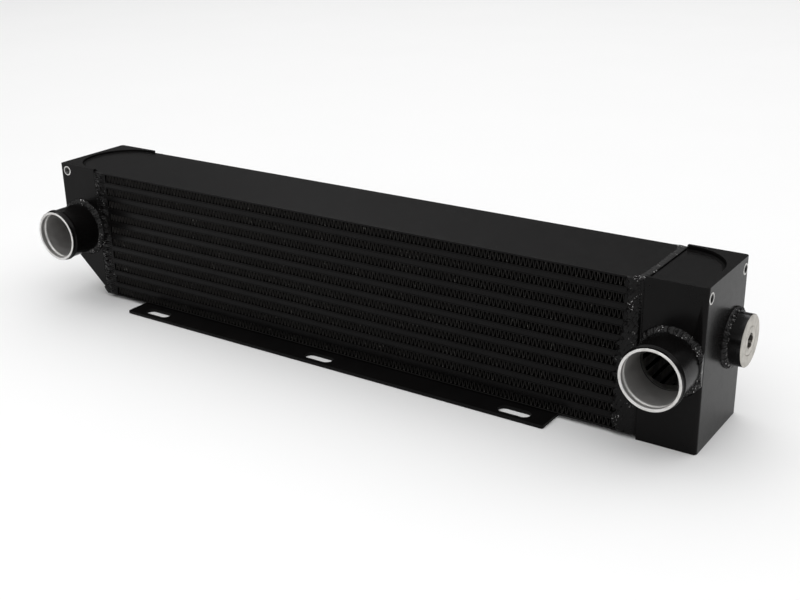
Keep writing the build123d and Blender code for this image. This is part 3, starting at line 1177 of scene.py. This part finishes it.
@dataclass
class Welds:
    """All weld beads of the cooler."""

    step: float = 0.5
    leg: float = 4.5
    boss_leg: float = 3.8
    cap_leg: float = 3.0
    seam_width: float = 16.0
    seam_flare: float = 9.0
    flare_from: float = 0.74
    flare_run: float = 26.0
    line_width: float = 6.0
    line_flare: float = 8.0
    line_fade: float = 4.0
    back_depth: float = 1.8
    fillet_back: float = 0.4
    foot_leg: float = 4.2
    foot_height: float = 4.0
    foot_slant: float = 0.35
    proud: float = 0.05
    crease: float = 60.0
    finish: WeldPaint = field(
        default_factory=lambda: WeldPaint(
            "weld_paint", roughness=0.2, specular=0.2, speck_spacing=3.0, speck_radius=0.1
        )
    )
    cap_finish: SatinPaint = field(
        default_factory=lambda: SatinPaint("cap_weld_paint", roughness=0.65, specular=0.03)
    )

    def fillet(
        self, travel: Array, leg: float, height: float, ripple: Ripple, hollow: float = 0.16
    ) -> Array:
        """Sections of a fillet: a quarter curve between wall and floor, drawn in by its
        hollow and swollen by the ripple, whose back lies just inside both.

        Args:
            travel: Distance along the bead at each section.
            leg: Reach over the floor.
            height: Reach up the wall.
            ripple: The bead's surface.
            hollow: How far its middle is drawn in; 0 is a full quarter round.

        Returns:
            The sections, as pairs of distance from the wall and height.
        """
        turn = np.linspace(0, np.pi / 2, 9)
        spread = turn / (np.pi / 4) - 1
        belly = 1 - hollow * np.sin(2 * turn)
        swell = ripple.swell(travel[:, None], spread) * np.sin(2 * turn) ** 0.5
        out = leg * np.sin(turn) * belly + swell * np.sin(turn)
        up = height * np.cos(turn) * belly + swell * np.cos(turn)
        front = np.stack(np.broadcast_arrays(out, up), -1)
        sunk = -self.fillet_back
        back = np.array([[leg, sunk], [sunk, sunk], [sunk, height]])
        back = np.broadcast_to(back, (len(travel), 3, 2))
        return np.concatenate([front, back], 1)

    def ring(self, centre: Array, radius: float, leg: float, axis: str, seed: int) -> tuple:
        """Fillet round a tube where it stands on a face.

        Args:
            centre: Where the tube's axis meets the face.
            radius: The tube's radius.
            leg: Reach of the fillet.
            axis: The tube's axis, "X" or "Y".
            seed: Chooses the ripples.

        Returns:
            Points and faces.
        """
        count = int(2 * np.pi * radius / self.step)
        angle = np.arange(count) * 2 * np.pi / count
        travel = angle * radius
        closing = 0.5 - 0.5 * np.cos(angle)
        ripple = Ripple(pitch=2.9, depth=0.95, lumps=0.5, seed=seed)
        section = self.fillet(travel, leg, leg, ripple)
        still = self.fillet(travel, leg, leg, Ripple(depth=0.0, lumps=0.0))
        share = np.minimum(1.0, closing * 60)[:, None, None]
        section = section * share + still * (1 - share)
        zero = np.zeros(count)
        if axis == "X":
            across = np.stack([zero, np.cos(angle), np.sin(angle)], -1)
            rise = np.array([1.0, 0.0, 0.0])
        else:
            across = np.stack([np.cos(angle), zero, np.sin(angle)], -1)
            rise = np.array([0.0, -1.0, 0.0])
        spine = centre + radius * across
        return swept(section, spine, across, np.broadcast_to(rise, spine.shape), True)

    def cap_line(self, side: Side, mouth: float, centre_x: float, radius: float) -> tuple:
        """The D's outline in plan from its front corner round to its rear corner.

        Args:
            side: Which tank.
            mouth: X of the straight side, without sign.
            centre_x: X of the arc's centre, without sign.
            radius: The arc's radius.

        Returns:
            Travel, points in plan and inward directions.
        """
        straight = centre_x - mouth
        total = 2 * straight + np.pi * radius
        travel = np.linspace(0, total, int(total / self.step))
        turn = np.clip((travel - straight) / radius, 0, np.pi) - np.pi / 2
        before = np.clip(straight - travel, 0, None)
        after = np.clip(travel - straight - np.pi * radius, 0, None)
        x = centre_x - before - after + radius * np.cos(turn)
        y = radius * np.sin(turn)
        inward = np.stack([-side.value * np.cos(turn), -np.sin(turn), 0 * turn], -1)
        return travel, np.stack([side.value * x, y, 0 * x], -1), inward

    def cap(self, side: Side, node: str, up: float, seed: int) -> tuple:
        """Fillet round the D between a cap and the tank's wall.

        Args:
            side: Which tank.
            node: The CAD weld that it follows.
            up: 1 on top of a cap, -1 under it.
            seed: Chooses the ripples.

        Returns:
            Points and faces.
        """
        box = Box.of(node)
        mouth = min(abs(box.low[0]), abs(box.high[0]))
        radius = (box.high[1] - box.low[1]) / 2
        centre_x = max(abs(box.low[0]), abs(box.high[0])) - radius
        level = box.low[2] if up > 0 else box.high[2]
        height = box.high[2] - box.low[2] - 0.15
        travel, spine, inward = self.cap_line(side, mouth, centre_x, radius)
        spine[:, 2] = level
        ripple = Ripple(pitch=3.0, depth=0.15, lumps=0.12, seed=seed)
        section = self.fillet(travel, self.cap_leg, height, ripple, 0.75)
        rise = np.broadcast_to(np.array([0.0, 0.0, up]), spine.shape)
        return swept(section, spine, inward, rise, False)

    def relief(self, flat: Array, face: Face, height: Array) -> tuple:
        """A height field on a face, with a flat back inside it.

        Each point of the front is the flat point plus its height along the face's outward
        direction. The back's outline is the flat points' own, sunk by one depth.

        Args:
            flat: The grid's points on the face.
            face: The face's outward direction.
            height: Height at each point of the grid.

        Returns:
            Points and faces.
        """
        out = np.array(face.value)
        top = flat + height[..., None] * out
        low = flat - self.back_depth * out
        padded = np.pad(top, ((1, 1), (1, 1), (0, 0)))
        sunk = np.pad(low, ((1, 1), (1, 1), (0, 0)), mode="edge")
        padded[[0, -1]] = sunk[[0, -1]]
        padded[:, [0, -1]] = sunk[:, [0, -1]]
        rows, columns = padded.shape[:2]
        faces = grid_faces(rows, columns, False, False)
        rim = np.concatenate(
            [
                np.arange(columns),
                columns * np.arange(1, rows) + columns - 1,
                (rows - 1) * columns + np.arange(columns - 2, -1, -1),
                columns * np.arange(rows - 2, 0, -1),
            ]
        )
        return padded, faces + [rim.tolist()]

    def widths(self, side: Side, face: Face, up: Array, seed: int) -> Array:
        """Width of a seam along its length.

        The left seam's is constant. The right one's wanders on the front and rear, where
        it grows by its flare below the top quarter. On the top and bottom it is narrow
        and widens towards both ends by a dying exponential.

        Args:
            side: Which tank.
            face: The core's face.
            up: Distances along the seam.
            seed: Chooses the wander.

        Returns:
            The widths.
        """
        if side is Side.LEFT:
            return np.full_like(up, self.seam_width)
        if face in (Face.TOP, Face.BOTTOM):
            from_end = np.minimum(up, up[-1] - up)
            flare = self.line_flare * np.exp(-from_end / self.line_fade)
            return self.line_width + flare + 0.5 * drift(up, seed)
        low = np.clip((up[-1] * self.flare_from - up) / self.flare_run, 0, 1)
        uneven = 0.8 + 0.2 * drift(up, seed + 5, (13.0, 7.0))
        return self.seam_width - 1.2 + 0.8 * drift(up, seed) + self.seam_flare * low * uneven

    def seam(self, side: Side, face: Face, seed: int) -> tuple:
        """The seam on one face of the core, beside one tank.

        Point (i, j) lies on the face at the i-th share of the seam's width there, inwards
        from the tank, and at the j-th distance along the seam.

        Args:
            side: Which tank.
            face: The core's front, rear, top or bottom.
            seed: Chooses the lumps.

        Returns:
            Points and faces.
        """
        core = Box.of("bottom_side_plate")
        top_z = Box.of("top_side_plate").high[2]
        upright = face in (Face.FRONT, Face.REAR)
        reach = top_z - core.low[2] if upright else core.high[1] - core.low[1]
        along = np.arange(0, reach + 0.01, self.step)
        share = np.linspace(0, 1, int((self.seam_width + self.seam_flare) / self.step))
        width, up = np.broadcast_arrays(self.widths(side, face, along, seed), along)
        away = share[:, None] * width
        up = np.broadcast_to(up, away.shape)
        if side is Side.LEFT:
            height = KnobblySeam().heights(away, up, seed)
        elif upright:
            height = PocketSeam().heights(away, up, width, seed)
        else:
            height = LineSeam().heights(away, up, width, seed)
        ends = np.clip(np.minimum(along, along[-1] - along) / 0.6, 0, 1)
        height = np.minimum(height, height * ends - 0.2 * (1 - ends))
        x = side.value * (core.high[0] - away)
        if upright:
            y = core.low[1] if face is Face.FRONT else core.high[1]
            flat = np.stack(np.broadcast_arrays(x, y, core.low[2] + up), -1)
        else:
            z = top_z if face is Face.TOP else core.low[2]
            flat = np.stack(np.broadcast_arrays(x, core.low[1] + up, z), -1)
        return self.relief(flat, face, height)

    def foot(self) -> tuple:
        """Fillet under the left tank's sloping cap, along the core's lower end edge."""
        box = Box.of("left_foot_weld")
        travel = np.arange(box.low[1] + 0.3, box.high[1], self.step)
        level = box.low[2] + self.foot_leg
        spine = np.stack([0 * travel + box.high[0], travel, 0 * travel + level], -1)
        section = self.fillet(travel, self.foot_leg, self.foot_height, Ripple(seed=61))
        across = np.broadcast_to(np.array([-1.0, 0.0, self.foot_slant]), spine.shape)
        rise = np.broadcast_to(np.array([0.0, 0.0, -1.0]), spine.shape)
        return swept(section, spine, across, rise, False)

    def port_foot(self, side: Side, seed: int) -> tuple:
        """Weld ring of one hose port, kept within the tank's end face.

        Args:
            side: Which tank.
            seed: Chooses the ripples.

        Returns:
            Points and faces.
        """
        tube = Box.of(f"{side.name.lower()}_port_tube")
        tank = Box.of(f"{side.name.lower()}_tank_shell")
        centre = np.array([tube.centre[0], tank.low[1], tube.centre[2]])
        points, faces = self.ring(centre, PORT_RADIUS, self.leg, "Y", seed)
        highest = tank.high[0] + self.proud if side is Side.RIGHT else None
        points[..., 0] = points[..., 0].clip(tank.low[0] - self.proud, highest)
        return points, faces

    def boss_foot(self) -> tuple:
        """Weld ring of the end boss, kept within the tank's rear face."""
        boss = Box.of("end_boss")
        tank = Box.of("right_tank_shell")
        centre = np.array([tank.high[0], boss.centre[1], boss.centre[2]])
        points, faces = self.ring(
            centre, (boss.high[2] - boss.low[2]) / 2, self.boss_leg, "X", 31
        )
        points[..., 1] = points[..., 1].clip(None, tank.high[1] + self.proud)
        return points, faces

    def build(self) -> None:
        """Make and dress every weld."""
        paint = self.finish.material()
        seam_finish = replace(self.finish, name="seam_paint", bare_from=0.56, specular=0.13)
        seam_paint = seam_finish.material()
        left_faces = [Face.FRONT, Face.REAR]
        right_faces = [Face.FRONT, Face.REAR, Face.TOP, Face.BOTTOM]
        left = joined([self.seam(Side.LEFT, face, 11 + n) for n, face in enumerate(left_faces)])
        right = joined([self.seam(Side.RIGHT, face, 21 + n) for n, face in enumerate(right_faces)])
        shells = {
            "left_core_seam": left,
            "right_core_seam": right,
            "left_port_weld": self.port_foot(Side.LEFT, 41),
            "right_port_weld": self.port_foot(Side.RIGHT, 43),
            "boss_weld": self.boss_foot(),
            "left_foot_weld": self.foot(),
        }
        for node, (points, faces) in shells.items():
            finish = seam_paint if node.endswith("seam") else paint
            bead = solid(f"{node}_bead", points, faces, self.crease)
            dress(bead, finish, "painted_weld", [node])
        smooth = self.cap_finish.material()
        caps = {
            "left_lid_weld": self.cap(Side.LEFT, "left_lid_weld", 1, 51),
            "right_top_cap_weld": self.cap(Side.RIGHT, "right_top_cap_weld", 1, 53),
            "right_bottom_cap_weld": self.cap(Side.RIGHT, "right_bottom_cap_weld", -1, 55),
        }
        for node, (points, faces) in caps.items():
            bead = solid(f"{node}_bead", points, faces, self.crease)
            dress(bead, smooth, "painted_weld", [node])


# --- Hose ports, boss and inserts ----------------------------------------------------------


@dataclass
class HosePort:
    """A hose tube with a rolled bead behind its machined rim."""

    side: Side
    radius: float = PORT_RADIUS
    wall: float = 2.6
    bead_rise: float = 1.1
    bead_half: float = 2.4
    bead_setback: float = 5.2
    rim_cut: float = 0.5
    paint_lap: float = 0.35
    bare_lap: float = 0.1
    joint_depth: float = 1.4
    segments: int = 160

    def profile(self, length: float) -> Array:
        """The tube's wall as a closed outline of radius and distance from the tank.

        Outside it runs straight, swells by a raised cosine at the bead, and ends in a
        chamfered flat rim; inside it runs back with the bead's hollow.

        Args:
            length: The tube's length.

        Returns:
            The outline's points.
        """
        swing = np.linspace(-1, 1, 13)
        swell = 0.5 + 0.5 * np.cos(np.pi * swing)
        middle = length - self.bead_setback
        straight = middle - self.bead_half - 1
        bore = self.radius - self.wall
        along = middle + self.bead_half * swing
        outer = np.stack([self.radius + self.bead_rise * swell, along], -1)
        inner = np.stack([bore + self.bead_rise * swell, along], -1)
        rim = [
            (self.radius, length - self.rim_cut),
            (self.radius - self.rim_cut, length),
            (bore + self.rim_cut, length),
            (bore, length - self.rim_cut),
        ]
        outside = [(self.radius, 0.0), (self.radius, straight)]
        inside = [(bore, straight), (bore, 0.0)]
        return np.concatenate([outside, outer, rim, inner[::-1], inside])

    def build(self) -> None:
        """Make and dress the tube."""
        node = f"{self.side.name.lower()}_port_tube"
        box = Box.of(node)
        length = box.high[1] - box.low[1]
        outline = self.profile(length)
        radius = np.repeat(outline[:, :1], self.segments, 1)
        centre = np.array([box.centre[0], box.high[1], box.centre[2]])
        points, faces = turned(radius, outline[:, 1], centre, "Y", True)
        finish = TurnedMetal(
            f"{node}_metal",
            "Y",
            tuple(centre),
            self.radius - self.paint_lap,
            length - self.bare_lap,
            dull_metal_and_painted_shade=(0.54, 0.53, 0.52),
            dull_and_shade_radius=self.radius - self.wall + self.bare_lap,
            joint=self.joint_depth,
        )
        tube = solid(f"{node}_turned", points, faces, TURNED_ANGLE)
        dress(tube, finish.material(), "black_paint", [node])


@dataclass
class EndBoss:
    """Round boss on the right tank with a bare face, and the plug in it."""

    plug_radius: float = 12.0
    plug_length: float = 11.0
    cut: float = 0.6
    flats: float = 12.0
    socket_flare: float = 0.8
    socket_lip: float = 0.5
    socket_depth: float = 8.0
    socket_taper: float = 0.9
    socket_foot: float = 0.82
    segments: int = 144

    def boss(self) -> tuple[bpy.types.Object, bpy.types.Material]:
        """The boss: a thick ring with a turned, bare outer face."""
        box = Box.of("end_boss")
        radius = (box.high[2] - box.low[2]) / 2
        length = box.high[0] - box.low[0]
        outline = np.array(
            [
                (radius, 0.0), (radius, length - self.cut), (radius - self.cut, length),
                (self.plug_radius + self.cut, length), (self.plug_radius, length - self.cut),
                (self.plug_radius, 0.0),
            ]
        )
        centre = np.array([box.low[0], box.centre[1], box.centre[2]])
        radii = np.repeat(outline[:, :1], self.segments, 1)
        points, faces = turned(radii, outline[:, 1], centre, "X", True)
        finish = TurnedMetal(
            "boss_metal", "X", tuple(centre), 0.0, length - 0.35, roughness=0.4,
            metal=(0.58, 0.555, 0.51), stained=(0.44, 0.42, 0.385), ring_size=0.8,
            paint=SatinPaint(roughness=0.2, specular=0.35),
        )
        return solid("end_boss_turned", points, faces, TURNED_ANGLE), finish.material()

    def hexagon(self, flats: float) -> Array:
        """Radius of a hexagon at each angle: half its flats over the cosine of the angle
        from the nearest flat's middle.

        Args:
            flats: Distance between opposite flats.

        Returns:
            The radii, one for each segment.
        """
        angle = np.arange(self.segments) * 2 * np.pi / self.segments
        sixth = np.pi / 3
        return flats / 2 / np.cos((angle + sixth / 2) % sixth - sixth / 2)

    def plug(self) -> tuple[bpy.types.Object, bpy.types.Material]:
        """The plug: a turned disc with a hexagonal socket."""
        box = Box.of("boss_plug")
        round_ring = np.ones(self.segments)
        rows = [
            (self.plug_radius * round_ring, -self.plug_length),
            (self.plug_radius * round_ring, -self.cut),
            ((self.plug_radius - self.cut) * round_ring, 0.0),
            (self.hexagon(self.flats + self.socket_flare), 0.0),
            (self.hexagon(self.flats), -self.socket_lip),
            (self.hexagon(self.flats), self.socket_taper - self.socket_depth),
            (self.hexagon(self.flats) * self.socket_foot, -self.socket_depth),
        ]
        radius = np.array([row for row, _ in rows])
        along = np.array([place for _, place in rows])
        centre = np.array([box.high[0], box.centre[1], box.centre[2]])
        points, faces = turned(radius, along, centre, "X", False)
        # The hexagonal socket is painted near-black as painted shade.
        finish = TurnedMetal(
            "plug_metal", "X", tuple(centre), roughness=0.38,
            metal=(0.6, 0.575, 0.53), stained=(0.44, 0.42, 0.385), ring_size=0.7,
            dull_metal_and_painted_shade=(0.1, 0.09, 0.08), dull_and_shade_radius=self.flats / 2 + 0.3,
        )
        return solid("boss_plug_turned", points, faces, 25.0), finish.material()

    def build(self) -> None:
        """Make and dress the boss and the plug."""
        dress(*self.boss(), "black_paint", ["end_boss"])
        dress(*self.plug(), "machined_metal", ["boss_plug"])


@dataclass
class Inserts:
    """Round threaded inserts, flush with their faces."""

    radius: float = 5.0
    length: float = 12.0
    thread: float = 2.5
    thread_depth: float = 10.0
    thread_pitch: float = 1.0
    thread_rise: float = 0.18
    cut: float = 0.6
    rim_cut: float = 0.25
    proud: float = 0.05
    segments: int = 48

    def shell(self, centre: Array, axis: str) -> tuple:
        """One insert.

        Its outline runs from the middle of its back out to its rim, in over its face to
        the mouth, and down the hole, where the radius swings once in each thread pitch.

        Args:
            centre: Middle of its face.
            axis: Its axis, "X" or "Y".

        Returns:
            Points and faces.
        """
        depth = np.arange(self.cut, self.thread_depth, self.thread_pitch / 6)
        ridge = self.thread + self.thread_rise * np.cos(2 * np.pi * depth / self.thread_pitch)
        rim = [(self.radius, -self.rim_cut), (self.radius - self.rim_cut, self.proud)]
        outline = np.concatenate(
            [
                [(self.radius, -self.length)],
                rim,
                [(self.thread + self.cut, self.proud)],
                np.stack([ridge, -depth], -1),
                [(self.thread - 0.3, -self.thread_depth)],
            ]
        )
        radius = np.repeat(outline[:, :1], self.segments, 1)
        return turned(radius, outline[:, 1], centre, axis, False)

    def build(self) -> None:
        """Make and dress the three inserts."""
        front = Box.of("left_front_insert")
        place = np.array([front.centre[0], front.low[1], front.centre[2]])
        points, faces = self.shell(place, "Y")
        # The threaded hole and a narrow ring round its mouth are painted near-black as painted
        # shade.
        finish = TurnedMetal(
            "front_insert_metal", "Y", tuple(place), roughness=0.24,
            dull_metal_and_painted_shade=(0.05, 0.05, 0.05), dull_and_shade_radius=self.thread + 1.2,
        )
        dress(
            solid("left_front_insert_turned", points, faces, TURNED_ANGLE),
            finish.material(), "machined_metal", ["left_front_insert"],
        )
        ends = Box.of("right_end_inserts")
        rows = (ends.low[1] + self.radius, ends.high[1] - self.radius)
        places = [np.array([ends.high[0], y, ends.centre[2]]) for y in rows]
        points, faces = joined([self.shell(place, "X") for place in places])
        # The threaded holes and narrow rings round their mouths are painted near-black as painted
        # shade.
        finish = TurnedMetal(
            "end_insert_metal", "X", tuple(places[1]), roughness=0.24,
            metal=(0.6, 0.59, 0.57), dull_metal_and_painted_shade=(0.03, 0.03, 0.03), dull_and_shade_radius=self.thread + 1.0,
            twin=True,
        )
        dress(
            solid("right_end_inserts_turned", points, faces, TURNED_ANGLE),
            finish.material(), "machined_metal", ["right_end_inserts"],
        )


# --- Studio ------------------------------------------------------------------------------


@dataclass
class Studio:
    """Camera, floor and soft light."""

    place: tuple[float, float, float] = (0.6152, -0.8281, 0.4498)
    azimuth: float = 34.5024
    elevation: float = 21.6251
    roll: float = -1.1168
    lens: float = 52.877
    floor_half: float = 14.0
    floor_gap: float = 0.0002
    sky: float = 0.11
    lamps: tuple = (
        ("overhead", (0.0, 0.8, 3.2), (0.0, 0.8, 0.0), (9.0, 9.0), 345.0),
        ("front", (0.2, -2.4, 1.3), (0.0, 0.0, 0.05), (2.2, 1.0), 10.0),
        ("right", (2.2, -0.2, 0.7), (0.35, 0.0, 0.05), (1.2, 0.9), 0.8),
    )

    def camera(self) -> None:
        """Place the camera: its back direction from azimuth and elevation, then rolled."""
        turn, lift, roll = (np.radians(a) for a in (self.azimuth, self.elevation, self.roll))
        back = np.array(
            [np.sin(turn) * np.cos(lift), -np.cos(turn) * np.cos(lift), np.sin(lift)]
        )
        right = np.cross([0.0, 0.0, 1.0], back)
        right /= np.linalg.norm(right)
        up = np.cross(back, right)
        rolled_right = np.cos(roll) * right + np.sin(roll) * up
        rolled_up = -np.sin(roll) * right + np.cos(roll) * up
        matrix = np.identity(4)
        matrix[:3, :4] = np.stack([rolled_right, rolled_up, back, np.array(self.place)], 1)
        lens = bpy.data.cameras.new("camera")
        lens.lens = self.lens
        lens.sensor_width = 36.0
        lens.clip_end = 100.0
        camera = bpy.data.objects.new("camera", lens)
        camera.matrix_world = Matrix(matrix.tolist())
        bpy.context.scene.collection.objects.link(camera)
        bpy.context.scene.camera = camera

    def softbox(self, name: str, place: Colour, aim: Colour, size: tuple, power: float) -> None:
        """Add one area light.

        Args:
            name: Its name.
            place: Where it hangs.
            aim: What it points at.
            size: Its width and height.
            power: Its power in watts.
        """
        lamp = bpy.data.lights.new(name, "AREA")
        lamp.shape = "RECTANGLE"
        lamp.size, lamp.size_y = size
        lamp.energy = power
        holder = bpy.data.objects.new(name, lamp)
        direction = Vector(aim) - Vector(place)
        holder.matrix_world = (
            Matrix.Translation(place) @ direction.to_track_quat("-Z", "Y").to_matrix().to_4x4()
        )
        bpy.context.scene.collection.objects.link(holder)

    def build(self) -> None:
        """Make the studio."""
        self.camera()
        corner = self.floor_half / MM
        level = -self.floor_gap / MM
        points = np.array(
            [(-corner, -corner, level), (corner, -corner, level),
             (corner, corner, level), (-corner, corner, level)]
        )
        floor = solid("floor", points, [[0, 1, 2, 3]])
        floor.data.materials.append(FloorFinish().material())
        world = bpy.data.worlds.new("studio")
        world.use_nodes = True
        sky = world.node_tree.nodes["Background"]
        sky.inputs["Color"].default_value = (1.0, 1.0, 1.0, 1.0)
        sky.inputs["Strength"].default_value = self.sky
        bpy.context.scene.world = world
        bpy.context.scene.view_settings.view_transform = "Standard"
        for lamp in self.lamps:
            self.softbox(*lamp)


def main() -> None:
    """Build the cooler piece by piece in its frame."""
    logging.basicConfig(level=logging.INFO, format="%(name)s %(message)s")
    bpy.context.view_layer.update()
    Core().build()
    Tanks().build()
    Welds().build()
    for side in Side:
        HosePort(side).build()
    EndBoss().build()
    Inserts().build()
    Studio().build()


if __name__ == "__main__":
    main()
